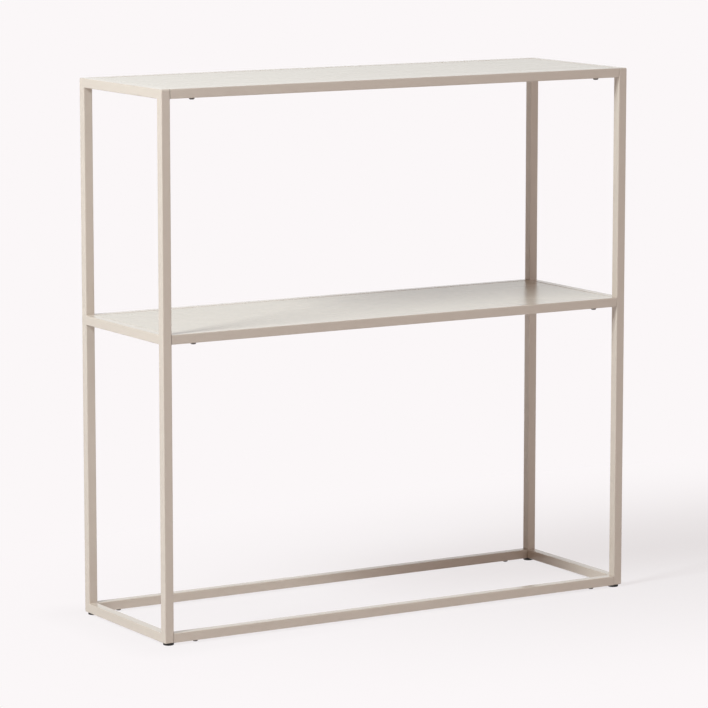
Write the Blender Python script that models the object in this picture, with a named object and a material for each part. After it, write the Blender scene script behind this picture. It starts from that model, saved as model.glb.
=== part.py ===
# An open metal shelving unit: two welded end frames of square tube, six long rails that slide
# onto spigots and are bolted from below, two folded sheet shelves and four levelling glides.
# Metres. +X is to the right, +Y to the rear, +Z up. The origin is on the floor, below the middle.

import math

import bmesh
import bpy
from mathutils import Matrix, Vector

# Frame
OVERALL_WIDTH = 0.914
OVERALL_DEPTH = 0.291
FRAME_HEIGHT = 0.914
MIDDLE_SHELF_TOP = 0.513          # above the underside of the frame
FLOOR_CLEARANCE = 0.004           # underside of the frame above the floor, glides screwed home

# Square tube
TUBE_SIZE = 0.016
TUBE_WALL = 0.0012
TUBE_OUTER_RADIUS = 0.002
TUBE_INNER_RADIUS = 0.0008

# Folded sheet shelves
SHEET_THICKNESS = 0.0012
SHELF_FLANGE_DEPTH = 0.012
SHELF_FOLD_RADIUS = 0.002
SHELF_CORNER_RADIUS = 0.0025
SHELF_RECESS = 0.0003             # sheet below the tops of the rails round it
SHELF_END_GAP = 0.001             # sheet to cross rail, so that the end frame can come off

# Spigots, welded to the posts inside the ends of the long rails
BOLT_INSET = 0.044                # post's inner face to the bolt's axis
SPIGOT_END = 0.014                # spigot beyond the bolt's axis
SPIGOT_BEVEL = 0.0006

# Button head bolts, up through the rails into the spigots
BOLT_RADIUS = 0.0025
BOLT_TIP_INSET = 0.0028           # tip below the top of the spigot
BOLT_HEAD_RADIUS = 0.00475
BOLT_HEAD_HEIGHT = 0.00275
BOLT_HEAD_EDGE = 0.0005           # upright rim below the dome
BOLT_CROWN_WIDTH = 0.0009         # flat ring round the socket
BOLT_SOCKET_WIDTH = 0.003         # across the flats
BOLT_SOCKET_DEPTH = 0.0016
THREAD_CHAMFER = 0.0005

# Levelling glides, a moulded pad on a threaded stud
GLIDE_INBOARD_Y = 0.002           # glide's axis from the post's axis, towards the middle
GLIDE_PAD_RADIUS = 0.009
GLIDE_PAD_EDGE_ROUND = 0.0012
GLIDE_PAD_TOP_CHAMFER = 0.0004
GLIDE_SOCKET_DEPTH = 0.0022
GLIDE_STUD_RADIUS = 0.0025
GLIDE_STUD_LENGTH = 0.020

# Threaded bushes for the studs, each welded to the floor and the inboard wall of its tube
BUSH_WALL = 0.0007
BUSH_HEIGHT = 0.008

# Clearances
SEAT_GAP = 0.0003                 # between pieces that bear on, or are welded to, each other
SPIGOT_CLEARANCE = 0.0003         # spigot to the inside of the rail, all round
HOLE_CLEARANCE = 0.0003           # bolt or stud to its hole, all round
CUTTER_OVERRUN = 0.001

# Fineness of round shapes
CORNER_STEPS = 3
DOME_STEPS = 3
ROUND_SIDES = 24
BOLT_SIDES = 18
SMOOTH_BELOW = math.radians(40)

# Finishes: linear colour, roughness, metallic
POWDER_COAT = ((0.60, 0.52, 0.45, 1.0), 0.35, 0.0)
ZINC_PLATE = ((0.55, 0.53, 0.50, 1.0), 0.35, 1.0)
BLACK_OXIDE = ((0.06, 0.057, 0.053, 1.0), 0.40, 1.0)
BLACK_NYLON = ((0.018, 0.017, 0.016, 1.0), 0.55, 0.0)

# Sizes that follow
frame_underside = FLOOR_CLEARANCE
tube_bore = TUBE_SIZE - 2 * TUBE_WALL
inner_width = OVERALL_WIDTH - 2 * TUBE_SIZE
inner_depth = OVERALL_DEPTH - 2 * TUBE_SIZE
post_x = OVERALL_WIDTH / 2 - TUBE_SIZE / 2
post_y = OVERALL_DEPTH / 2 - TUBE_SIZE / 2
mitre_setback = SEAT_GAP / math.sqrt(2)
rail_length = inner_width - 2 * SEAT_GAP
spigot_size = tube_bore - 2 * SPIGOT_CLEARANCE
spigot_length = BOLT_INSET + SPIGOT_END
bolt_x = inner_width / 2 - BOLT_INSET
bolt_length = SEAT_GAP + TUBE_WALL + SPIGOT_CLEARANCE + spigot_size - BOLT_TIP_INSET
bolt_hole_radius = BOLT_RADIUS + HOLE_CLEARANCE
socket_flat = BOLT_SOCKET_WIDTH / 2
socket_corner = socket_flat / math.cos(math.pi / 6)
stud_hole_radius = GLIDE_STUD_RADIUS + HOLE_CLEARANCE
bush_radius = stud_hole_radius + BUSH_WALL
glide_x = post_x - tube_bore / 2 + bush_radius + SEAT_GAP
glide_y = post_y - GLIDE_INBOARD_Y
pad_thickness = FLOOR_CLEARANCE - SEAT_GAP

# Height of each level's tubes: their middles, above the frame's underside
levels = {
    "bottom": TUBE_SIZE / 2,
    "middle": MIDDLE_SHELF_TOP - TUBE_SIZE / 2,
    "top": FRAME_HEIGHT - TUBE_SIZE / 2,
}
# Each side's name, with the direction from the middle towards it
ends = {"left": -1, "right": 1}
faces = {"front": -1, "rear": 1}


def clear_scene():
    for old in list(bpy.data.objects):
        bpy.data.objects.remove(old, do_unlink=True)


def finish_material(name, finish):
    colour, roughness, metallic = finish
    material = bpy.data.materials.new(name)
    material.use_nodes = True
    shader = material.node_tree.nodes["Principled BSDF"]
    shader.inputs["Base Color"].default_value = colour
    shader.inputs["Roughness"].default_value = roughness
    shader.inputs["Metallic"].default_value = metallic
    material.diffuse_color = colour
    return material


def place(name, mesh, finish, parent, location, rotation=(0, 0, 0)):
    piece = bpy.data.objects.new(name, mesh)
    piece.location = location
    piece.rotation_euler = rotation
    piece.parent = parent
    bpy.context.scene.collection.objects.link(piece)
    # copies share a mesh, so the finish sits on the object
    if not mesh.materials:
        mesh.materials.append(None)
    piece.material_slots[0].link = "OBJECT"
    piece.material_slots[0].material = finish_material(name, finish)
    return piece


def place_empty(name, location):
    empty = bpy.data.objects.new(name, None)
    empty.location = location
    bpy.context.scene.collection.objects.link(empty)
    return empty


def to_mesh(name, solid, smooth=True):
    bmesh.ops.recalc_face_normals(solid, faces=solid.faces)
    mesh = bpy.data.meshes.new(name)
    solid.to_mesh(mesh)
    solid.free()
    if smooth:
        mesh.shade_smooth()
        mesh.set_sharp_from_angle(angle=SMOOTH_BELOW)
    return mesh


def rounded_square(size, radius):
    # points round a square with rounded corners, anticlockwise
    reach = size / 2 - radius
    points = []
    for corner in range(4):
        start = corner * math.pi / 2
        centre = Matrix.Rotation(start, 2) @ Vector((reach, reach))
        for step in range(CORNER_STEPS + 1):
            angle = start + step / CORNER_STEPS * math.pi / 2
            points.append(centre + radius * Vector((math.cos(angle), math.sin(angle))))
    return points


def tube_mesh(name, length, mitred):
    # a hollow square tube that runs up +Z from the origin, cut square, or mitred at both
    # ends so that its -Y face is the long one
    solid = bmesh.new()
    loops = []
    for size, radius in ((TUBE_SIZE, TUBE_OUTER_RADIUS), (tube_bore, TUBE_INNER_RADIUS)):
        for at_top in (False, True):
            loop = []
            for point in rounded_square(size, radius):
                cut = point.y + TUBE_SIZE / 2 + mitre_setback if mitred else 0
                height = length - cut if at_top else cut
                loop.append(solid.verts.new((point.x, point.y, height)))
            loops.append(loop)
    outer_low, outer_high, inner_low, inner_high = loops
    for first, second in (
        (outer_low, outer_high),
        (outer_high, inner_high),
        (inner_high, inner_low),
        (inner_low, outer_low),
    ):
        for index in range(len(first)):
            after = (index + 1) % len(first)
            solid.faces.new((first[index], first[after], second[after], second[index]))
    return to_mesh(name, solid)


def circle(angle):
    return 1


def hexagon(angle):
    # distance to the outline of a hexagon whose flats are 1 from its middle
    return 1 / math.cos(angle % (math.pi / 3) - math.pi / 6)


def turned_mesh(name, rings, sides):
    # rings of (radius, height, outline) about Z, joined in turn and capped at both ends
    solid = bmesh.new()
    loops = []
    for radius, height, outline in rings:
        loop = []
        for side in range(sides):
            angle = side / sides * 2 * math.pi
            reach = radius * outline(angle)
            loop.append(solid.verts.new((reach * math.cos(angle), reach * math.sin(angle), height)))
        loops.append(loop)
    for first, second in zip(loops, loops[1:]):
        for index in range(sides):
            after = (index + 1) % sides
            solid.faces.new((first[index], first[after], second[after], second[index]))
    solid.faces.new(loops[0])
    solid.faces.new(loops[-1])
    return to_mesh(name, solid)


def quarter_round(radius_in, radius_out, height_low, height_high):
    # rings on a quarter ellipse, from its widest at height_low to its narrowest at height_high
    rings = []
    for step in range(DOME_STEPS + 1):
        angle = step / DOME_STEPS * math.pi / 2
        radius = radius_in + (radius_out - radius_in) * math.cos(angle)
        height = height_low + (height_high - height_low) * math.sin(angle)
        rings.append((radius, height, circle))
    return rings


def hole_cutter(name, radius, sides, centre, low, high):
    solid = bmesh.new()
    bmesh.ops.create_cone(
        solid, cap_ends=True, segments=sides, radius1=radius, radius2=radius, depth=high - low
    )
    cutter = bpy.data.objects.new(name, to_mesh(name, solid, smooth=False))
    cutter.location = (centre[0], centre[1], (low + high) / 2)
    cutter.hide_render = True
    cutter.display_type = "WIRE"
    bpy.context.scene.collection.objects.link(cutter)
    return cutter


def cut_hole(piece, cutter):
    hole = piece.modifiers.new(cutter.name, "BOOLEAN")
    hole.operation = "DIFFERENCE"
    hole.solver = "EXACT"
    hole.object = cutter


def spigot_mesh():
    # a square bar along +X from the origin, its long edges eased
    solid = bmesh.new()
    bmesh.ops.create_cube(solid, size=1)
    bmesh.ops.scale(solid, verts=solid.verts, vec=(spigot_length, spigot_size, spigot_size))
    bmesh.ops.translate(solid, verts=solid.verts, vec=(spigot_length / 2, 0, 0))
    root_edges = [e for e in solid.edges if all(v.co.x < SPIGOT_BEVEL for v in e.verts)]
    eased = [e for e in solid.edges if e not in root_edges]
    bmesh.ops.bevel(solid, geom=eased, offset=SPIGOT_BEVEL, segments=1, affect="EDGES")
    return to_mesh("spigot", solid, smooth=False)


def bolt_mesh():
    # the head's bearing face is at the origin, the head below it and the shank above
    crown_radius = socket_corner + BOLT_CROWN_WIDTH
    rings = [
        (BOLT_RADIUS - THREAD_CHAMFER, bolt_length, circle),
        (BOLT_RADIUS, bolt_length - THREAD_CHAMFER, circle),
        (BOLT_RADIUS, 0, circle),
        (BOLT_HEAD_RADIUS, 0, circle),
    ]
    rings += quarter_round(crown_radius, BOLT_HEAD_RADIUS, -BOLT_HEAD_EDGE, -BOLT_HEAD_HEIGHT)
    rings += [
        (socket_flat, -BOLT_HEAD_HEIGHT, hexagon),
        (socket_flat, -BOLT_HEAD_HEIGHT + BOLT_SOCKET_DEPTH, hexagon),
    ]
    return turned_mesh("bolt", rings, BOLT_SIDES)


def glide_pad_mesh():
    # stands on the origin, with a socket for the stud in its top
    rings = quarter_round(
        GLIDE_PAD_RADIUS - GLIDE_PAD_EDGE_ROUND, GLIDE_PAD_RADIUS, GLIDE_PAD_EDGE_ROUND, 0
    )
    rings.reverse()
    rings += [
        (GLIDE_PAD_RADIUS, pad_thickness - GLIDE_PAD_TOP_CHAMFER, circle),
        (GLIDE_PAD_RADIUS - GLIDE_PAD_TOP_CHAMFER, pad_thickness, circle),
        (stud_hole_radius, pad_thickness, circle),
        (stud_hole_radius, pad_thickness - GLIDE_SOCKET_DEPTH, circle),
    ]
    return turned_mesh("glide_pad", rings, ROUND_SIDES)


def glide_stud_mesh():
    rings = [
        (GLIDE_STUD_RADIUS - THREAD_CHAMFER, 0, circle),
        (GLIDE_STUD_RADIUS, THREAD_CHAMFER, circle),
        (GLIDE_STUD_RADIUS, GLIDE_STUD_LENGTH - THREAD_CHAMFER, circle),
        (GLIDE_STUD_RADIUS - THREAD_CHAMFER, GLIDE_STUD_LENGTH, circle),
    ]
    return turned_mesh("glide_stud", rings, ROUND_SIDES)


def bush_mesh():
    rings = [(bush_radius, 0, circle), (bush_radius, BUSH_HEIGHT, circle)]
    return turned_mesh("bush", rings, ROUND_SIDES)


def shelf_mesh():
    # a sheet with all four edges folded down and the corners welded and dressed; its top
    # face is at height 0 and the modifier gives the sheet its thickness inwards
    solid = bmesh.new()
    bmesh.ops.create_cube(solid, size=1)
    width = inner_width - 2 * SHELF_END_GAP
    depth = inner_depth - 2 * SEAT_GAP
    bmesh.ops.scale(solid, verts=solid.verts, vec=(width, depth, SHELF_FLANGE_DEPTH))
    bmesh.ops.translate(solid, verts=solid.verts, vec=(0, 0, -SHELF_FLANGE_DEPTH / 2))
    underside = [f for f in solid.faces if all(v.co.z < 0 for v in f.verts)]
    bmesh.ops.delete(solid, geom=underside, context="FACES_ONLY")
    corners = [e for e in solid.edges if e.verts[0].co.z != e.verts[1].co.z]
    bmesh.ops.bevel(
        solid, geom=corners, offset=SHELF_CORNER_RADIUS, segments=CORNER_STEPS,
        profile=0.5, affect="EDGES",
    )
    folds = [e for e in solid.edges if all(v.co.z == 0 for v in e.verts)]
    bmesh.ops.bevel(
        solid, geom=folds, offset=SHELF_FOLD_RADIUS, segments=CORNER_STEPS,
        profile=0.5, affect="EDGES",
    )
    return to_mesh("shelf", solid)


def make_end_frame(end, meshes):
    # two posts and three cross rails, mitred and welded; the middle rail is cut square
    root = place_empty(f"{end}_end_frame", (ends[end] * post_x, 0, frame_underside))
    half_turn = math.pi
    quarter_turn = math.pi / 2
    place(f"{end}_front_post", meshes["post"], POWDER_COAT, root, (0, -post_y, 0))
    place(f"{end}_rear_post", meshes["post"], POWDER_COAT, root, (0, post_y, 0), (0, 0, half_turn))
    half_depth = OVERALL_DEPTH / 2
    bottom_rail = place(
        f"{end}_bottom_cross_rail", meshes["cross_rail"], POWDER_COAT, root,
        (0, half_depth, levels["bottom"]), (quarter_turn, 0, 0),
    )
    place(
        f"{end}_top_cross_rail", meshes["cross_rail"], POWDER_COAT, root,
        (0, -half_depth, levels["top"]), (-quarter_turn, 0, 0),
    )
    place(
        f"{end}_middle_cross_rail", meshes["middle_cross_rail"], POWDER_COAT, root,
        (0, -inner_depth / 2 + SEAT_GAP, levels["middle"]), (-quarter_turn, 0, 0),
    )
    return bottom_rail


def make_level(level, meshes):
    # the front and rear rails of one level, with their spigots and bolts
    rail_middle = frame_underside + levels[level]
    rail_underside = rail_middle - TUBE_SIZE / 2
    for face, towards in faces.items():
        rail = place(
            f"{level}_{face}_rail", meshes["long_rail"], POWDER_COAT, None,
            (-rail_length / 2, towards * post_y, rail_middle), (math.pi / 2, 0, math.pi / 2),
        )
        for end, outwards in ends.items():
            joint = f"{level}_{face}_{end}"
            into_rail = 0 if outwards < 0 else math.pi
            spigot = place(
                f"{joint}_spigot", meshes["spigot"], ZINC_PLATE, None,
                (outwards * (inner_width / 2 - SEAT_GAP), towards * post_y, rail_middle),
                (0, 0, into_rail),
            )
            place(
                f"{joint}_bolt", meshes["bolt"], BLACK_OXIDE, None,
                (outwards * bolt_x, towards * post_y, rail_underside - SEAT_GAP),
            )
            cutter = hole_cutter(
                f"{joint}_bolt_hole", bolt_hole_radius, BOLT_SIDES,
                (outwards * bolt_x, towards * post_y),
                rail_underside - CUTTER_OVERRUN,
                rail_middle + spigot_size / 2 + SPIGOT_CLEARANCE / 2,
            )
            cut_hole(rail, cutter)
            cut_hole(spigot, cutter)


def make_shelf(level, meshes):
    top = frame_underside + levels[level] + TUBE_SIZE / 2 - SHELF_RECESS
    shelf = place(f"{level}_shelf", meshes["shelf"], POWDER_COAT, None, (0, 0, top))
    sheet = shelf.modifiers.new("sheet", "SOLIDIFY")
    sheet.thickness = SHEET_THICKNESS
    sheet.offset = -1
    sheet.use_even_offset = True


def make_glide(end, face, bottom_rail, meshes):
    # the glide's axis is upright, a little inboard of the post's
    x = ends[end] * glide_x
    y = faces[face] * glide_y
    corner = f"{face}_{end}"
    wall_top = frame_underside + TUBE_WALL
    axis = place_empty(f"{corner}_glide_axis", (x, y, 0))
    socket_floor = pad_thickness - GLIDE_SOCKET_DEPTH
    place(f"{corner}_glide_pad", meshes["glide_pad"], BLACK_NYLON, axis, (0, 0, 0))
    place(
        f"{corner}_glide_stud", meshes["glide_stud"], ZINC_PLATE, axis,
        (0, 0, socket_floor + SEAT_GAP),
    )
    bush = place(
        f"{corner}_threaded_bush", meshes["bush"], ZINC_PLATE, None, (x, y, wall_top + SEAT_GAP)
    )
    cutter = hole_cutter(
        f"{corner}_stud_hole", stud_hole_radius, ROUND_SIDES, (x, y),
        frame_underside - CUTTER_OVERRUN,
        wall_top + SEAT_GAP + BUSH_HEIGHT + CUTTER_OVERRUN,
    )
    cut_hole(bottom_rail, cutter)
    cut_hole(bush, cutter)


def main():
    clear_scene()
    meshes = {
        "post": tube_mesh("post", FRAME_HEIGHT, mitred=True),
        "cross_rail": tube_mesh("cross_rail", OVERALL_DEPTH, mitred=True),
        "middle_cross_rail": tube_mesh("middle_cross_rail", inner_depth - 2 * SEAT_GAP, mitred=False),
        "long_rail": tube_mesh("long_rail", rail_length, mitred=False),
        "spigot": spigot_mesh(),
        "bolt": bolt_mesh(),
        "shelf": shelf_mesh(),
        "glide_pad": glide_pad_mesh(),
        "glide_stud": glide_stud_mesh(),
        "bush": bush_mesh(),
    }
    for end in ends:
        bottom_rail = make_end_frame(end, meshes)
        for face in faces:
            make_glide(end, face, bottom_rail, meshes)
    for level in levels:
        make_level(level, meshes)
    for level in ("middle", "top"):
        make_shelf(level, meshes)


main()
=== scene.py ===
import math

import bmesh
import bpy
from mathutils import Matrix, Vector, noise


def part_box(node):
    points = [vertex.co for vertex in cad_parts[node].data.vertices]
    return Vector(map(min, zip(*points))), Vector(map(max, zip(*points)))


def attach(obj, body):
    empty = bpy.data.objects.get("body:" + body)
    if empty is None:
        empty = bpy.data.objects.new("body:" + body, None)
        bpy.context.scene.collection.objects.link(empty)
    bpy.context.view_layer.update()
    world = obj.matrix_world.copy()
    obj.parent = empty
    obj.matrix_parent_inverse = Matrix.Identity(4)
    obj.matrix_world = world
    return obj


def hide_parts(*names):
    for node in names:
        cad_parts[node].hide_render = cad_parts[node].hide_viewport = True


# An open metal shelving unit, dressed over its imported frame. Metres, +Z up.
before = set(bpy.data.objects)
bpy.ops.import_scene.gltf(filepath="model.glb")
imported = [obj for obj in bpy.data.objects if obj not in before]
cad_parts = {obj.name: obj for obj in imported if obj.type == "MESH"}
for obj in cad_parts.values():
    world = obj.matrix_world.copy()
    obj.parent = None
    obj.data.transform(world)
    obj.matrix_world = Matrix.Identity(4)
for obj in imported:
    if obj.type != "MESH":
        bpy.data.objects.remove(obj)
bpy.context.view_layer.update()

ends = ("left", "right")
faces = ("front", "rear")
levels = ("bottom", "middle", "top")
smoothBelow = math.radians(40)
flatFirst = 50             # how strongly the weighted normals favour the wide faces
mergeDistance = 1e-7


# Node trees

class Wire:
    # one output of a node, which takes part in plain arithmetic: each sign adds its own Math node
    def __init__(self, tree, socket=None):
        self.tree = tree
        self.socket = socket

    def node(self, kind, settings=None, values=None, output=0):
        made = self.tree.nodes.new(kind)
        for name, setting in (settings or {}).items():
            setattr(made, name, setting)
        for name, value in (values or {}).items():
            for each in value if isinstance(value, list) else [value]:
                if isinstance(each, Wire):
                    self.tree.links.new(each.socket, made.inputs[name])
                else:
                    made.inputs[name].default_value = each
        return Wire(self.tree, made.outputs[output] if len(made.outputs) else None)

    def output(self, name):
        return Wire(self.tree, self.socket.node.outputs[name])

    def maths(self, operation, first, second=0.0):
        return self.node("ShaderNodeMath", {"operation": operation}, {0: first, 1: second})

    def __add__(self, other):
        return self.maths("ADD", self, other)

    def __radd__(self, other):
        return self.maths("ADD", other, self)

    def __sub__(self, other):
        return self.maths("SUBTRACT", self, other)

    def __rsub__(self, other):
        return self.maths("SUBTRACT", other, self)

    def __mul__(self, other):
        return self.maths("MULTIPLY", self, other)

    def __rmul__(self, other):
        return self.maths("MULTIPLY", other, self)

    def __truediv__(self, other):
        return self.maths("DIVIDE", self, other)

    def __rtruediv__(self, other):
        return self.maths("DIVIDE", other, self)

    def least(self, other):
        return self.maths("MINIMUM", self, other)

    def most(self, other):
        return self.maths("MAXIMUM", self, other)

    def clamped(self):
        return self.node("ShaderNodeClamp", {}, {"Value": self})

    def colours(self, first, second):
        # this wire's value leads from the first colour to the second
        return self.node("ShaderNodeMix", {"data_type": "RGBA"}, {0: self, 6: first, 7: second}, 2)


def opaque(colour):
    return (*colour, 1.0)


def newMaterial(name):
    material = bpy.data.materials.new(name)
    material.use_nodes = True
    tree = material.node_tree
    tree.nodes.clear()
    return material, Wire(tree)


def noiseOver(draw, place, scale, detail, roughness=0.5):
    return draw.node(
        "ShaderNodeTexNoise", {}, {"Vector": place, "Scale": scale, "Detail": detail, "Roughness": roughness}
    )


def swing(wire, reach):
    # turns a noise of 0 to 1 into one that swings this far in all round zero
    return (wire - 0.5) * reach


def shadeWith(draw, look, colour, roughness, height, metallic=0.0):
    # the last nodes of every finish on the object
    bump = draw.node("ShaderNodeBump", {}, {
        "Height": height, "Strength": look["bumpStrength"], "Distance": look["bumpHeight"],
    })
    shader = draw.node("ShaderNodeBsdfPrincipled", {}, {
        "Base Color": colour, "Roughness": roughness, "Metallic": metallic, "Normal": bump,
    })
    draw.node("ShaderNodeOutputMaterial", {}, {"Surface": shader})


powderCoatLook = {
    "name": "powderCoat",
    "colour": (0.600, 0.515, 0.440),
    "thinColour": (0.618, 0.534, 0.460),   # where the coat lies a little thinner
    "roughness": 0.22,
    "roughnessDrift": 0.05,
    "roughnessGrain": 0.04,
    "driftScale": 9.0,
    "driftDetail": 3.0,
    "driftShare": 0.7,                     # of the coat's unevenness, the rest is peel
    "peelScale": 620.0,                    # orange peel, about 1.6 mm from crest to crest
    "grainScale": 3600.0,
    "fineDetail": 1.0,                     # of peel and grain
    "grainShare": 0.15,                    # grain's height beside the peel's
    "bumpHeight": 0.00001,
    "bumpStrength": 1.0,
}
sheetCoatPaintedSheenLook = {
    **powderCoatLook,                      # the same coat, which lies more evenly on a wide flat sheet, and whose colours carry a painted cool sheen
    "name": "sheetCoat",
    # the frame's coat tinted a little greener: painted cool sheen, as the flat sheet shows it at a grazing
    # view
    "colour": (0.596, 0.524, 0.4465),
    "thinColour": (0.604, 0.533, 0.4555),
    "roughness": 0.27,
    "roughnessDrift": 0.03,
    "bumpHeight": 0.0000022,
}


def makePowderCoat(look):
    material, draw = newMaterial(look["name"])
    place = draw.node("ShaderNodeTexCoord").output("Object")
    drift = noiseOver(draw, place, look["driftScale"], look["driftDetail"])
    peel = noiseOver(draw, place, look["peelScale"], look["fineDetail"])
    grain = noiseOver(draw, place, look["grainScale"], look["fineDetail"])
    thin = (drift * look["driftShare"] + peel * (1 - look["driftShare"])).clamped()
    colour = thin.colours(opaque(look["colour"]), opaque(look["thinColour"]))
    roughness = (
        look["roughness"] + swing(drift, look["roughnessDrift"]) + swing(grain, look["roughnessGrain"])
    )
    shadeWith(draw, look, colour, roughness, peel + grain * look["grainShare"])
    return material


zincLook = {
    "name": "zincPlate",
    "colour": (0.46, 0.45, 0.43),
    "tintColour": (0.50, 0.46, 0.38),      # the faint straw tint of a passivated plate
    "roughness": 0.34,
    "roughnessDrift": 0.16,
    "roughnessScratch": 0.1,
    "cloudScale": 260.0,
    "cloudDetail": 3.0,
    "scratchScale": 900.0,
    "scratchDetail": 2.0,
    "scratchSharpness": 0.7,
    "scratchStretch": 14.0,
    "bumpHeight": 0.000004,
    "bumpStrength": 1.0,
}
blackOxideLook = {
    **zincLook,                            # the same worn steel in another colour
    "name": "blackOxide",
    "colour": (0.105, 0.100, 0.095),
    "tintColour": (0.150, 0.135, 0.122),   # browner where the oil has dried
    "roughness": 0.38,
}


def makePlatedSteel(look):
    material, draw = newMaterial(look["name"])
    place = draw.node("ShaderNodeTexCoord").output("Object")
    cloud = noiseOver(draw, place, look["cloudScale"], look["cloudDetail"])
    lying = draw.node("ShaderNodeMapping", {}, {"Vector": place, "Scale": (1.0, 1.0, look["scratchStretch"])})
    scratch = noiseOver(draw, lying, look["scratchScale"], look["scratchDetail"], look["scratchSharpness"])
    colour = cloud.colours(opaque(look["colour"]), opaque(look["tintColour"]))
    roughness = (
        look["roughness"] + swing(cloud, look["roughnessDrift"]) + swing(scratch, look["roughnessScratch"])
    )
    shadeWith(draw, look, colour, roughness, scratch, metallic=1.0)
    return material


nylonLook = {
    "colour": (0.006, 0.0048, 0.0040),
    "scuffColour": (0.022, 0.018, 0.015),
    "scuffHeight": 0.0006,                 # scuffs reach this far up from the floor
    "scuffGain": 2.0,                      # scuffs show where the noise times this passes scuffFrom
    "scuffFrom": 0.6,
    "roughness": 0.62,
    "scuffRoughness": 0.15,
    "roughnessGrain": 0.1,
    "grainScale": 2400.0,
    "grainDetail": 2.0,
    "scuffScale": 700.0,
    "scuffDetail": 3.0,
    "bumpHeight": 0.00002,
    "bumpStrength": 0.8,
}


def makeBlackNylon(look):
    material, draw = newMaterial("blackNylon")
    place = draw.node("ShaderNodeTexCoord").output("Object")
    height = draw.node("ShaderNodeSeparateXYZ", {}, {0: place}).output("Z")
    grain = noiseOver(draw, place, look["grainScale"], look["grainDetail"])
    patches = noiseOver(draw, place, look["scuffScale"], look["scuffDetail"])
    low = (1 - height / look["scuffHeight"]).clamped()
    scuff = (low * (patches * look["scuffGain"] - look["scuffFrom"])).clamped()
    colour = scuff.colours(opaque(look["colour"]), opaque(look["scuffColour"]))
    roughness = look["roughness"] + scuff * look["scuffRoughness"] + swing(grain, look["roughnessGrain"])
    shadeWith(draw, look, colour, roughness, grain)
    return material


powderCoat = makePowderCoat(powderCoatLook)
sheetCoat = makePowderCoat(sheetCoatPaintedSheenLook)
zincPlate = makePlatedSteel(zincLook)
blackOxide = makePlatedSteel(blackOxideLook)
blackNylon = makeBlackNylon(nylonLook)
print("finishes made: two powder coats, zinc plate, black oxide, black nylon")


# Making pieces

def newPiece(name, mesh, material=None):
    piece = bpy.data.objects.new(name, mesh)
    bpy.context.scene.collection.objects.link(piece)
    if material:
        mesh.materials.append(material)
    return piece


def toMesh(name, solid, outwards=True):
    bmesh.ops.remove_doubles(solid, verts=solid.verts, dist=mergeDistance)
    bmesh.ops.recalc_face_normals(solid, faces=solid.faces)
    if not outwards:
        bmesh.ops.reverse_faces(solid, faces=solid.faces)
    mesh = bpy.data.meshes.new(name)
    solid.to_mesh(mesh)
    solid.free()
    return mesh


def settle(piece):
    # what the modifiers make becomes the piece's own plain mesh
    graph = bpy.context.evaluated_depsgraph_get()
    made = bpy.data.meshes.new_from_object(
        piece.evaluated_get(graph), preserve_all_data_layers=True, depsgraph=graph
    )
    piece.modifiers.clear()
    piece.data = made
    made.name = piece.name
    return piece


def listedAnew(mesh):
    # bevels and extrusions list their faces differently in each run, so this lists them by their places
    points = [tuple(vertex.co) for vertex in mesh.vertices]
    order = sorted(range(len(points)), key=points.__getitem__)
    rank = {index: place for place, index in enumerate(order)}
    outlines = []
    for polygon in mesh.polygons:
        outline = [rank[index] for index in polygon.vertices]
        first = outline.index(min(outline))
        outlines.append(outline[first:] + outline[:first])
    listed = bpy.data.meshes.new(mesh.name)
    listed.from_pydata([points[index] for index in order], [], sorted(outlines))
    for material in mesh.materials:
        listed.materials.append(material)
    return listed


def smoothOver(piece):
    # smooth shading that leaves the flat faces flat
    piece.data.shade_smooth()
    piece.data.set_sharp_from_angle(angle=smoothBelow)
    weighted = piece.modifiers.new("weighted normals", "WEIGHTED_NORMAL")
    weighted.keep_sharp = True
    weighted.weight = flatFirst
    return settle(piece)


def middleOf(node):
    low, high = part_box(node)
    return (low + high) / 2


def footOf(node):
    low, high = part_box(node)
    return Vector(((low.x + high.x) / 2, (low.y + high.y) / 2, low.z))


def placeOn(piece, body, slotName, *nodes):
    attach(piece, body)
    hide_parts(*nodes)
    print("piece", piece.name, "on", body, "with", len(piece.data.polygons), "faces")


def newGeometryTree(name, sizes):
    # a Geometry Nodes group with one named input for each size, and a wire from its Group Input
    tree = bpy.data.node_groups.new(name, "GeometryNodeTree")
    tree.interface.new_socket("Geometry", in_out="INPUT", socket_type="NodeSocketGeometry")
    tree.interface.new_socket("Geometry", in_out="OUTPUT", socket_type="NodeSocketGeometry")
    for label, kind in sizes.items():
        tree.interface.new_socket(label, in_out="INPUT", socket_type="NodeSocket" + kind)
    start = Wire(tree).node("NodeGroupInput")
    return tree, start


def endGeometryTree(start, shape):
    # realised instances with their finish, as the group's result
    realised = shape.node("GeometryNodeRealizeInstances", {}, {"Geometry": shape})
    finished = shape.node(
        "GeometryNodeSetMaterial", {}, {"Geometry": realised, "Material": start.output("Finish")}
    )
    shape.node("NodeGroupOutput", {}, {"Geometry": finished})


def grow(piece, tree, sizes):
    # runs a Geometry Nodes group on a piece with these sizes, and keeps the plain mesh
    modifier = piece.modifiers.new(tree.name, "NODES")
    modifier.node_group = tree
    for item in tree.interface.items_tree:
        if item.item_type == "SOCKET" and item.in_out == "INPUT" and item.name in sizes:
            modifier[item.identifier] = sizes[item.name]
    materials = settle(piece).data.materials
    for index in reversed(range(len(materials))):
        if materials[index] is None:                         # Set Material leaves an empty slot first
            materials.pop(index=index)
    return piece


# End frames: two posts and three cross rails, welded and dressed

endFrameSizes = {
    "edgeRadius": 0.0013,      # of the tube's long edges
    "edgeSteps": 4,
    "cornerRadius": 0.0026,    # the frame's outer corners, ground round after welding
    "cornerSteps": 6,
    "weldRadius": 0.0009,      # the dressed weld in each inner corner
    "weldSteps": 4,
    "wall": 0.0012,
    "studHoleRadius": 0.0028,
    "holeSides": 48,
    "drillWalls": 4,           # length of the drill, in walls
}


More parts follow.
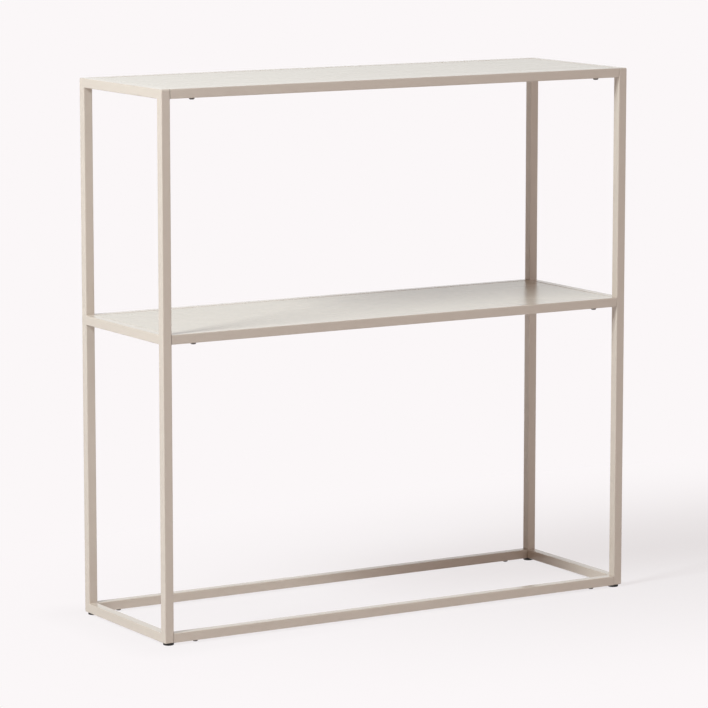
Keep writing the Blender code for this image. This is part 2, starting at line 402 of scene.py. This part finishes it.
def arc(middleY, middleZ, radius, fromAngle, toAngle, steps):
    points = []
    for step in range(steps + 1):
        angle = math.radians(fromAngle + (toAngle - fromAngle) * step / steps)
        points.append((middleY + radius * math.cos(angle), middleZ + radius * math.sin(angle)))
    return points


def ladderSolid(lowX, highX, reachY, innerY, rails, cornerRadius, weldRadius, sizes):
    # one half is an E-shaped outline in y and z, from the middle to one post; rails are heights
    (bottom, bottomTop), (middleUnder, middleTop), (topUnder, top) = rails
    far = reachY - cornerRadius
    near = innerY - weldRadius
    cornerSteps, weldSteps = sizes["cornerSteps"], sizes["weldSteps"]
    outline = [(0, bottom)]
    outline += arc(far, bottom + cornerRadius, cornerRadius, -90, 0, cornerSteps)
    outline += arc(far, top - cornerRadius, cornerRadius, 0, 90, cornerSteps)
    outline += [(0, top), (0, topUnder)]
    outline += arc(near, topUnder - weldRadius, weldRadius, 90, 0, weldSteps)
    outline += arc(near, middleTop + weldRadius, weldRadius, 0, -90, weldSteps)
    outline += [(0, middleTop), (0, middleUnder)]
    outline += arc(near, middleUnder - weldRadius, weldRadius, 90, 0, weldSteps)
    outline += arc(near, bottomTop + weldRadius, weldRadius, 0, -90, weldSteps)
    outline += [(0, bottomTop)]

    solid = bmesh.new()
    for side in (-1, 1):
        low = [solid.verts.new((lowX, side * y, z)) for y, z in outline]
        high = [solid.verts.new((highX, side * y, z)) for y, z in outline]
        solid.faces.new(low)
        solid.faces.new(high)
        for index in range(len(outline)):
            after = (index + 1) % len(outline)
            if outline[index][0] or outline[after][0]:      # the middle stays open
                solid.faces.new((low[index], low[after], high[after], high[index]))
    bmesh.ops.remove_doubles(solid, verts=solid.verts, dist=mergeDistance)
    bmesh.ops.recalc_face_normals(solid, faces=solid.faces)
    return solid


def makeEndFrame(end, sizes):
    nodes = [f"{end}_{face}_post" for face in faces] + [f"{end}_{level}_cross_rail" for level in levels]
    postLow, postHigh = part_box(f"{end}_rear_post")
    rails = []
    for level in levels:
        railLow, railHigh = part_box(f"{end}_{level}_cross_rail")
        rails.append((railLow.z, railHigh.z))
    wall = sizes["wall"]
    shell = ladderSolid(
        postLow.x, postHigh.x, postHigh.y, postLow.y, rails, sizes["cornerRadius"], sizes["weldRadius"], sizes
    )
    rims = [
        edge for edge in shell.edges
        if sorted(len(face.verts) > 4 for face in edge.link_faces) == [False, True]
    ]
    bmesh.ops.bevel(
        shell, geom=rims, offset=sizes["edgeRadius"], segments=sizes["edgeSteps"],
        profile=0.5, affect="EDGES", clamp_overlap=False,
    )
    bore = ladderSolid(
        postLow.x + wall, postHigh.x - wall, postHigh.y - wall, postLow.y + wall,
        [(low + wall, high - wall) for low, high in rails], wall, wall, sizes,
    )
    joined = bmesh.new()
    joined.from_mesh(toMesh("shell", shell))
    joined.from_mesh(toMesh("bore", bore, outwards=False))
    mesh = bpy.data.meshes.new(end + "EndFrame")
    joined.to_mesh(mesh)
    joined.free()
    piece = newPiece(end + "EndFrame", mesh, powderCoat)

    drills = []
    for face in faces:
        axis = middleOf(f"{face}_{end}_glide_stud")
        hole = bmesh.new()
        bmesh.ops.create_cone(
            hole, cap_ends=True, segments=sizes["holeSides"],
            radius1=sizes["studHoleRadius"], radius2=sizes["studHoleRadius"],
            depth=sizes["drillWalls"] * wall,
            matrix=Matrix.Translation((axis.x, axis.y, rails[0][0])),
        )
        drill = newPiece("drill", toMesh("drill", hole))
        cut = piece.modifiers.new("stud hole", "BOOLEAN")
        cut.operation = "DIFFERENCE"
        cut.solver = "EXACT"
        cut.object = drill
        drills.append(drill)
    settle(piece)
    for drill in drills:
        bpy.data.objects.remove(drill)
    placeOn(smoothOver(piece), "frame", "powder_coat", *nodes)


# Long rails: one Geometry Nodes group makes the square tube, its eased ends and its bolt holes

longRailSizes = {
    # the capitalised names are the group's inputs
    "Size": 0.016,
    "Wall": 0.0012,
    "Corner Radius": 0.0013,
    "End Ease": 0.00035,       # radius on the cut edges
    "Hole Radius": 0.0028,
    "cornerSteps": 6,
    "easeSteps": 4,
    "holeSides": 48,
    "drillWalls": 3,           # length of the drill, in walls
    "play": {                  # how much further off its post than in the frame each end is: left, right
        "bottom": (0.0001, 0.0),
        "middle": (0.0003, 0.0),
        "top": (0.0006, 0.00005),
    },
}


def makeSquareTubeTree(sizes):
    tree, start = newGeometryTree("squareTube", {
        "Length": "Float", "Size": "Float", "Wall": "Float", "Corner Radius": "Float",
        "End Ease": "Float", "Hole Radius": "Float", "Hole Place": "Float", "Hole Shift": "Float",
        "Place": "Vector", "Finish": "Material",
    })
    size, wall = start.output("Size"), start.output("Wall")
    square = start.node("GeometryNodeCurvePrimitiveQuadrilateral", {}, {
        "Width": size - wall, "Height": size - wall,
    })
    path = start.node("GeometryNodeFilletCurve", {"mode": "POLY"}, {
        "Curve": square, "Count": sizes["cornerSteps"],
        "Radius": start.output("Corner Radius") - wall / 2,
    })
    section = start.node("GeometryNodeCurvePrimitiveQuadrilateral", {}, {
        "Width": wall, "Height": start.output("Length"),
    })
    lips = start.node("GeometryNodeFilletCurve", {"mode": "POLY"}, {
        "Curve": section, "Count": sizes["easeSteps"], "Radius": start.output("End Ease"),
    })
    tube = start.node("GeometryNodeCurveToMesh", {}, {"Curve": path, "Profile Curve": lips})
    lying = start.node("GeometryNodeTransform", {}, {"Geometry": tube, "Rotation": (0, math.pi / 2, 0)})
    drill = start.node("GeometryNodeMeshCylinder", {}, {
        "Vertices": sizes["holeSides"], "Radius": start.output("Hole Radius"),
        "Depth": wall * sizes["drillWalls"],
    })
    drills = []
    for side in (-1, 1):
        spot = start.node("ShaderNodeCombineXYZ", {}, {
            "X": start.output("Hole Place") * side + start.output("Hole Shift"), "Z": size * -0.5 + wall / 2,
        })
        drills.append(start.node("GeometryNodeTransform", {}, {"Geometry": drill, "Translation": spot}))
    drilled = start.node(
        "GeometryNodeMeshBoolean", {"operation": "DIFFERENCE", "solver": "EXACT"},
        {"Mesh 1": lying, "Mesh 2": drills},
    )
    placed = start.node(
        "GeometryNodeTransform", {}, {"Geometry": drilled, "Translation": start.output("Place")}
    )
    endGeometryTree(start, placed)
    return tree


def makeLongRail(level, face, tree, sizes):
    node = f"{level}_{face}_rail"
    low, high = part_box(node)
    bolt = middleOf(f"{level}_{face}_right_bolt")
    leftPlay, rightPlay = sizes["play"][level]
    shift = (leftPlay - rightPlay) / 2
    name = level + face.capitalize() + "Rail"
    piece = newPiece(name, bpy.data.meshes.new(name))
    grow(piece, tree, {
        **sizes, "Length": high.x - low.x - leftPlay - rightPlay, "Hole Place": bolt.x, "Hole Shift": -shift,
        "Place": middleOf(node) + Vector((shift, 0, 0)), "Finish": powderCoat,
    })
    placeOn(smoothOver(piece), "frame", "powder_coat", node)


# Shelves: sheet with its four edges folded down and its corners welded

shelfSizes = {
    "thickness": 0.0012,
    "foldRadius": 0.0013,
    "cornerRadius": 0.0025,
    "roundSteps": 5,
    "cell": 0.010,             # mesh over the flat of the sheet
    "sag": 0.00012,            # how far the flat wanders below its edges
    "sagLength": 0.16,
    "sagEdge": 0.03,           # the folds hold the sheet flat within this of the edge
}


def makeShelf(level, sizes):
    node = f"{level}_shelf"
    low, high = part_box(node)
    cells = [round((high[axis] - low[axis]) / sizes["cell"]) for axis in (0, 1)]
    solid = bmesh.new()
    bmesh.ops.create_grid(
        solid, x_segments=cells[0], y_segments=cells[1], size=0.5,
        matrix=Matrix.Translation((0, 0, high.z))
        @ Matrix.Diagonal((high.x - low.x, high.y - low.y, 1, 1)),
    )
    rims = [edge for edge in solid.edges if edge.is_boundary]
    drawn = bmesh.ops.extrude_edge_only(solid, edges=rims)
    for vertex in (item for item in drawn["geom"] if isinstance(item, bmesh.types.BMVert)):
        vertex.co.z = low.z
    corners = [
        edge for edge in solid.edges
        if edge.verts[0].co.z != edge.verts[1].co.z
        and abs(edge.verts[0].co.x) > high.x - mergeDistance
        and abs(edge.verts[0].co.y) > high.y - mergeDistance
    ]
    bmesh.ops.bevel(
        solid, geom=corners, offset=sizes["cornerRadius"], segments=sizes["roundSteps"],
        profile=0.5, affect="EDGES",
    )
    folds = [
        edge for edge in solid.edges
        if all(vertex.co.z == high.z for vertex in edge.verts)
        and any(abs(face.normal.z) < 0.5 for face in edge.link_faces)
    ]
    bmesh.ops.bevel(
        solid, geom=folds, offset=sizes["foldRadius"], segments=sizes["roundSteps"],
        profile=0.5, affect="EDGES",
    )
    # pressed sheet is never quite flat, and a satin coat shows it
    for vertex in solid.verts:
        if vertex.co.z > high.z - mergeDistance:
            inside = min(high.x - abs(vertex.co.x), high.y - abs(vertex.co.y)) - sizes["foldRadius"]
            free = min(max(inside / sizes["sagEdge"], 0), 1)
            wander = noise.noise(Vector((vertex.co.x, vertex.co.y, high.z)) / sizes["sagLength"])
            vertex.co.z -= sizes["sag"] * free * free * (3 - 2 * free) * (1 + wander)
    name = level + "Shelf"
    piece = newPiece(name, toMesh(name, solid), sheetCoat)
    sheet = piece.modifiers.new("sheet", "SOLIDIFY")
    sheet.thickness = sizes["thickness"]
    sheet.offset = -1
    sheet.use_even_offset = True
    piece.data = listedAnew(settle(piece).data)
    placeOn(smoothOver(piece), "frame", "powder_coat", node)


# Turned pieces

def circle(angle):
    return 1


def hexagon(angle):
    # distance to the outline of a hexagon whose flats are 1 from its middle
    return 1 / math.cos(angle % (math.pi / 3) - math.pi / 6)


def turned(rings, sides):
    # rings of (radius, height, outline) about Z, joined in turn and closed to a point at both ends
    solid = bmesh.new()
    loops = []
    for radius, height, outline in rings:
        loop = []
        for side in range(sides):
            angle = side / sides * 2 * math.pi
            reach = radius * outline(angle)
            loop.append(solid.verts.new((reach * math.cos(angle), reach * math.sin(angle), height)))
        loops.append(loop)
    for first, second in zip(loops, loops[1:]):
        for index in range(sides):
            after = (index + 1) % sides
            solid.faces.new((first[index], first[after], second[after], second[index]))
    for loop in (loops[0], loops[-1]):
        height = loop[0].co.z
        pole = solid.verts.new((0, 0, height))
        for index in range(sides):
            solid.faces.new((loop[index], loop[(index + 1) % sides], pole))
    return solid


def rounding(middleRadius, middleHeight, radius, height, fromAngle, toAngle, steps):
    # rings along a quarter of an ellipse
    rings = []
    for step in range(steps + 1):
        angle = math.radians(fromAngle + (toAngle - fromAngle) * step / steps)
        rings.append(
            (middleRadius + radius * math.cos(angle), middleHeight + height * math.sin(angle), circle)
        )
    return rings


# Button head bolts: one turned bolt, set on its twelve places by Geometry Nodes

boltSizes = {
    "shankRadius": 0.0025,
    "threadChamfer": 0.0005,
    "headRadius": 0.00475,
    "headEdge": 0.0005,        # upright rim below the dome
    "edgeRound": 0.00015,
    "edgeSteps": 3,
    "bearingGap": 0.0003,      # the head's bearing face below the rail
    "crownRadius": 0.0026,     # flat ring round the socket
    "socketFlat": 0.0015,
    "socketChamfer": 0.00012,
    "socketDepth": 0.0016,
    "socketCone": 0.0005,
    "domeSteps": 10,
    "sides": 72,
    "turnSeed": 7,             # each bolt stopped at its own angle
}


def boltMesh(length, headHeight, sizes):
    # the head's bearing face is at the origin, the head below it and the shank above
    radius, edge, ease = sizes["headRadius"], sizes["headEdge"], sizes["edgeRound"]
    shank, chamfer = sizes["shankRadius"], sizes["threadChamfer"]
    flat, lead = sizes["socketFlat"], sizes["socketChamfer"]
    rings = [(shank - chamfer, length, circle), (shank, length - chamfer, circle), (shank, 0, circle)]
    rings += rounding(radius - ease, -ease, ease, ease, 90, 0, sizes["edgeSteps"])
    rings += rounding(
        sizes["crownRadius"], -edge, radius - sizes["crownRadius"], edge - headHeight, 0, 90,
        sizes["domeSteps"],
    )
    rings += [
        (flat + lead, -headHeight, hexagon),
        (flat, -headHeight + lead, hexagon),
        (flat, -headHeight + sizes["socketDepth"], hexagon),
        (sizes["socketCone"], -headHeight + sizes["socketDepth"] + sizes["socketCone"], circle),
    ]
    return toMesh("bolt", turned(rings, sizes["sides"]))


def makeBoltTree():
    tree, start = newGeometryTree("boltRow", {"Bolt": "Object", "Seed": "Int", "Finish": "Material"})
    bolt = start.node("GeometryNodeObjectInfo", {}, {"Object": start.output("Bolt")}, "Geometry")
    turn = start.node(
        "FunctionNodeRandomValue", {"data_type": "FLOAT"},
        {2: 0.0, 3: 2 * math.pi, "Seed": start.output("Seed")}, 1,
    )
    facing = start.node("ShaderNodeCombineXYZ", {}, {"Z": turn})
    rows = start.node("GeometryNodeInstanceOnPoints", {}, {
        "Points": start.output("Geometry"), "Instance": bolt, "Rotation": facing,
    })
    endGeometryTree(start, rows)
    return tree


def makeBolts(sizes):
    nodes = [f"{level}_{face}_{end}_bolt" for level in levels for face in faces for end in ends]
    low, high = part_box(nodes[0])
    railUnderside = footOf("bottom_front_rail").z
    headHeight = railUnderside - low.z - sizes["bearingGap"]
    bolt = newPiece("oneBolt", boltMesh(high.z - railUnderside, headHeight, sizes))
    smoothOver(bolt)
    places = bpy.data.meshes.new("buttonHeadBolts")
    places.from_pydata([footOf(node) + Vector((0, 0, headHeight)) for node in nodes], [], [])
    piece = newPiece("buttonHeadBolts", places)
    grow(piece, makeBoltTree(), {"Bolt": bolt, "Seed": sizes["turnSeed"], "Finish": blackOxide})
    bpy.data.objects.remove(bolt)
    placeOn(piece, "frame", "black_oxide", *nodes)


# Levelling glides: a moulded pad on a threaded stud at each corner

studSizes = {
    # the capitalised names are the group's inputs
    "Radius": 0.0025,
    "Thread Depth": 0.00042,
    "Pitch": 0.0008,
    "Chamfer": 0.0005,
    "around": 28,
    "rows": 226,               # the first and the last close the rod's ends
    "flankSlope": 1.3,
    "crestShare": 0.15,        # of the pitch, flat at the crest
    "turnsAhead": 8.0,         # keeps the helix's count of turns above zero
}


def makeThreadTree(sizes):
    # a grid rolled into a rod whose radius follows a helix
    tree, start = newGeometryTree("threadedRod", {
        "Radius": "Float", "Thread Depth": "Float", "Pitch": "Float", "Chamfer": "Float",
        "Length": "Float", "Place": "Vector", "Finish": "Material",
    })
    radius, length, rowCount = start.output("Radius"), start.output("Length"), sizes["rows"]
    grid = start.node("GeometryNodeMeshGrid", {}, {
        "Size X": 1.0, "Size Y": 1.0, "Vertices X": sizes["around"] + 1, "Vertices Y": rowCount,
    })
    spread = start.node("ShaderNodeSeparateXYZ", {}, {0: start.node("GeometryNodeInputPosition")})
    turn = spread.output("X") + 0.5
    row = (spread.output("Y") + 0.5) * (rowCount - 1)
    height = ((row - 1) / (rowCount - 3)).clamped() * length
    phase = start.maths("FRACT", height / start.output("Pitch") - turn + sizes["turnsAhead"])
    flank = (start.maths("ABSOLUTE", phase * 2 - 1) * sizes["flankSlope"] - sizes["crestShare"]).clamped()
    threaded = radius - flank * start.output("Thread Depth")
    lead = height.least(length - height) + (radius - start.output("Chamfer"))
    within = start.maths("GREATER_THAN", row, 0.5) * start.maths("LESS_THAN", row, rowCount - 1.5)
    reach = threaded.least(lead) * within
    angle = turn * (2 * math.pi)
    rolled = start.node("ShaderNodeCombineXYZ", {}, {
        "X": reach * start.maths("COSINE", angle), "Y": reach * start.maths("SINE", angle), "Z": height,
    })
    rod = start.node("GeometryNodeSetPosition", {}, {"Geometry": grid, "Position": rolled})
    closed = start.node("GeometryNodeMergeByDistance", {}, {"Geometry": rod, "Distance": mergeDistance})
    placed = start.node(
        "GeometryNodeTransform", {}, {"Geometry": closed, "Translation": start.output("Place")}
    )
    endGeometryTree(start, placed)
    return tree


padSizes = {
    "edgeRound": 0.0009,
    "edgeSteps": 8,
    "topRound": 0.0003,
    "topSteps": 4,
    "studRadius": 0.0026,
    "socketDepth": 0.0022,
    "gateRadius": 0.0011,      # dimple where the moulding was fed
    "gateDepth": 0.0003,
    "gateShares": ((0.5, 1.0), (0.85, 0.6), (1.0, 0.0)),                     # of radius and depth
    "grooveRadius": 0.0050,    # ring under the pad
    "grooveWidth": 0.0007,
    "grooveDepth": 0.00035,
    "grooveShares": ((-0.5, 0.0), (-0.25, 1.0), (0.25, 1.0), (0.5, 0.0)),    # of width and depth
    "sides": 96,
}


def makePad(corner, name, body, sizes):
    node = corner + "_glide_pad"
    low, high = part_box(node)
    radius = (high.x - low.x) / 2
    edge, lip = sizes["edgeRound"], sizes["topRound"]
    top = high.z - low.z
    rings = [
        (sizes["gateRadius"] * out, sizes["gateDepth"] * up, circle) for out, up in sizes["gateShares"]
    ]
    rings += [
        (sizes["grooveRadius"] + sizes["grooveWidth"] * out, sizes["grooveDepth"] * up, circle)
        for out, up in sizes["grooveShares"]
    ]
    rings += rounding(radius - edge, edge, edge, edge, -90, 0, sizes["edgeSteps"])
    rings += rounding(radius - lip, top - lip, lip, lip, 0, 90, sizes["topSteps"])
    rings += [
        (sizes["studRadius"], top, circle),
        (sizes["studRadius"], top - sizes["socketDepth"], circle),
    ]
    mesh = toMesh(name, turned(rings, sizes["sides"]))
    mesh.transform(Matrix.Translation(footOf(node)))
    placeOn(smoothOver(newPiece(name, mesh, blackNylon)), body, "black_nylon", node)


def makeStud(corner, name, body, tree, sizes):
    node = corner + "_glide_stud"
    low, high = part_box(node)
    piece = newPiece(name, bpy.data.meshes.new(name))
    grow(piece, tree, {**sizes, "Length": high.z - low.z, "Place": footOf(node), "Finish": zincPlate})
    placeOn(smoothOver(piece), body, "zinc_plate", node)


def dressHidden():
    # spigots and threaded bushes keep the frame's own solids
    for name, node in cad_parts.items():
        if name.endswith("_spigot") or name.endswith("_threaded_bush"):
            node.data.materials.clear()
            node.data.materials.append(zincPlate)


for end in ends:
    makeEndFrame(end, endFrameSizes)
squareTube = makeSquareTubeTree(longRailSizes)
for level in levels:
    for face in faces:
        makeLongRail(level, face, squareTube, longRailSizes)
for level in ("middle", "top"):
    makeShelf(level, shelfSizes)
makeBolts(boltSizes)
threadedRod = makeThreadTree(studSizes)
for face in faces:
    for end in ends:
        corner = f"{face}_{end}"
        makePad(corner, face + end.capitalize() + "Pad", corner + "_glide", padSizes)
        makeStud(corner, face + end.capitalize() + "Stud", corner + "_glide", threadedRod, studSizes)
dressHidden()


# Floor, light and camera

studio = {
    "paper": (0.965, 0.930, 0.939),   # floor and background
    "shade": 0.75,                    # how pale the paint that takes the shadows is beside the paper
    "shadowShare": 0.26,              # how much of the paint shows at most
    "shadowMiddle": (0.75, -0.02),    # it shows most here, and not at all this far away
    "shadowReach": (1.62, 0.90),
    "underShare": 0.15,               # and this much everywhere below the unit
    "underReach": (0.47, 0.16),
    "underFade": 0.10,
    "bounce": 0.90,                   # how pale the floor is as a source of light
    "floorSize": 120.0,
    "floorDrop": 0.00005,             # so that the pads don't share its plane
    "worldColour": (0.241, 0.186, 0.153),
    "middle": (0.0, 0.0, 0.45),
}
lamps = {
    # name: azimuth it comes from, elevation, distance, size, power, colour
    "key": (-75.0, 38.0, 4.5, 1.2, 190.4, (0.867, 0.967, 1.0)),
    "fill": (25.0, 20.0, 5.0, 3.0, 33.9, (1.0, 0.953, 0.991)),
    "back": (149.0, 20.0, 6.0, 4.0, 10.6, (0.761, 1.0, 0.976)),
}
cameraView = {
    "azimuth": -31.0,
    "elevation": 8.607,
    "distance": 6.5009,
    "aim": (-0.0077, -0.0003, 0.4335),
    "lens": 191.89,
    "sensor": 36.0,
    "clipEnd": 200.0,
}


def lookFrom(name, data, middle, azimuth, elevation, distance):
    # azimuth 0 is in front of the object and looks along +Y
    side, up = math.radians(azimuth), math.radians(elevation)
    back = Vector((math.sin(side) * math.cos(up), -math.cos(side) * math.cos(up), math.sin(up)))
    placed = bpy.data.objects.new(name, data)
    placed.location = Vector(middle) + distance * back
    placed.rotation_euler = back.to_track_quat("Z", "Y").to_euler()
    bpy.context.scene.collection.objects.link(placed)
    return placed


def seenRays(draw):
    # 1 for what the camera sees, mirrored or through glass too, and 0 for light on its way
    paths = draw.node("ShaderNodeLightPath")
    return (
        paths.output("Is Camera Ray") + paths.output("Is Glossy Ray") + paths.output("Is Transmission Ray")
    ).clamped()


def makeFloor(look):
    material, draw = newMaterial("paleFloor")
    seen = seenRays(draw)
    place = draw.node("ShaderNodeSeparateXYZ", {}, {0: draw.node("ShaderNodeTexCoord").output("Object")})
    offsets = [
        (place.output(axis) - middle) / reach
        for axis, middle, reach in zip("XY", look["shadowMiddle"], look["shadowReach"])
    ]
    far = draw.maths("SQRT", offsets[0] * offsets[0] + offsets[1] * offsets[1]).clamped()
    cast = (1 - far * far * (3 - 2 * far)) * look["shadowShare"]
    inside = [
        1 - ((draw.maths("ABSOLUTE", place.output(axis)) - reach) / look["underFade"]).clamped()
        for axis, reach in zip("XY", look["underReach"])
    ]
    under = inside[0] * inside[1] * look["underShare"]
    dull = opaque([shade * look["bounce"] for shade in look["paper"]])
    paint = opaque([shade * look["shade"] for shade in look["paper"]])
    painted = draw.node("ShaderNodeBsdfDiffuse", {}, {"Color": seen.colours(dull, paint)})
    glowing = draw.node("ShaderNodeEmission", {}, {"Color": opaque(look["paper"]), "Strength": 1.0})
    blend = draw.node("ShaderNodeMixShader", {}, {0: seen * (1 - cast.most(under)), 1: painted, 2: glowing})
    draw.node("ShaderNodeOutputMaterial", {}, {"Surface": blend})
    solid = bmesh.new()
    bmesh.ops.create_grid(solid, x_segments=1, y_segments=1, size=look["floorSize"] / 2)
    floor = newPiece("floor", toMesh("floor", solid), material)
    floor.location.z = -look["floorDrop"]


def makeWorld(look):
    world = bpy.data.worlds.new("studio")
    world.use_nodes = True
    world.node_tree.nodes.clear()
    draw = Wire(world.node_tree)
    colour = seenRays(draw).colours(opaque(look["worldColour"]), opaque(look["paper"]))
    sky = draw.node("ShaderNodeBackground", {}, {"Color": colour})
    draw.node("ShaderNodeOutputWorld", {}, {"Surface": sky})
    bpy.context.scene.world = world


def makeLamp(name, azimuth, elevation, distance, size, power, colour):
    light = bpy.data.lights.new(name + "Lamp", "AREA")
    light.shape = "DISK"
    light.size = size
    light.energy = power
    light.color = colour
    lamp = lookFrom(name + "Lamp", light, studio["middle"], azimuth, elevation, distance)
    lamp.visible_camera = False


def makeCamera(view):
    data = bpy.data.cameras.new("camera")
    data.lens = view["lens"]
    data.sensor_width = view["sensor"]
    data.clip_end = view["clipEnd"]
    bpy.context.scene.camera = lookFrom(
        "camera", data, view["aim"], view["azimuth"], view["elevation"], view["distance"]
    )


makeFloor(studio)
makeWorld(studio)
for name, places in lamps.items():
    makeLamp(name, *places)
makeCamera(cameraView)
bpy.context.scene.view_settings.view_transform = "Standard"
print("studio set")
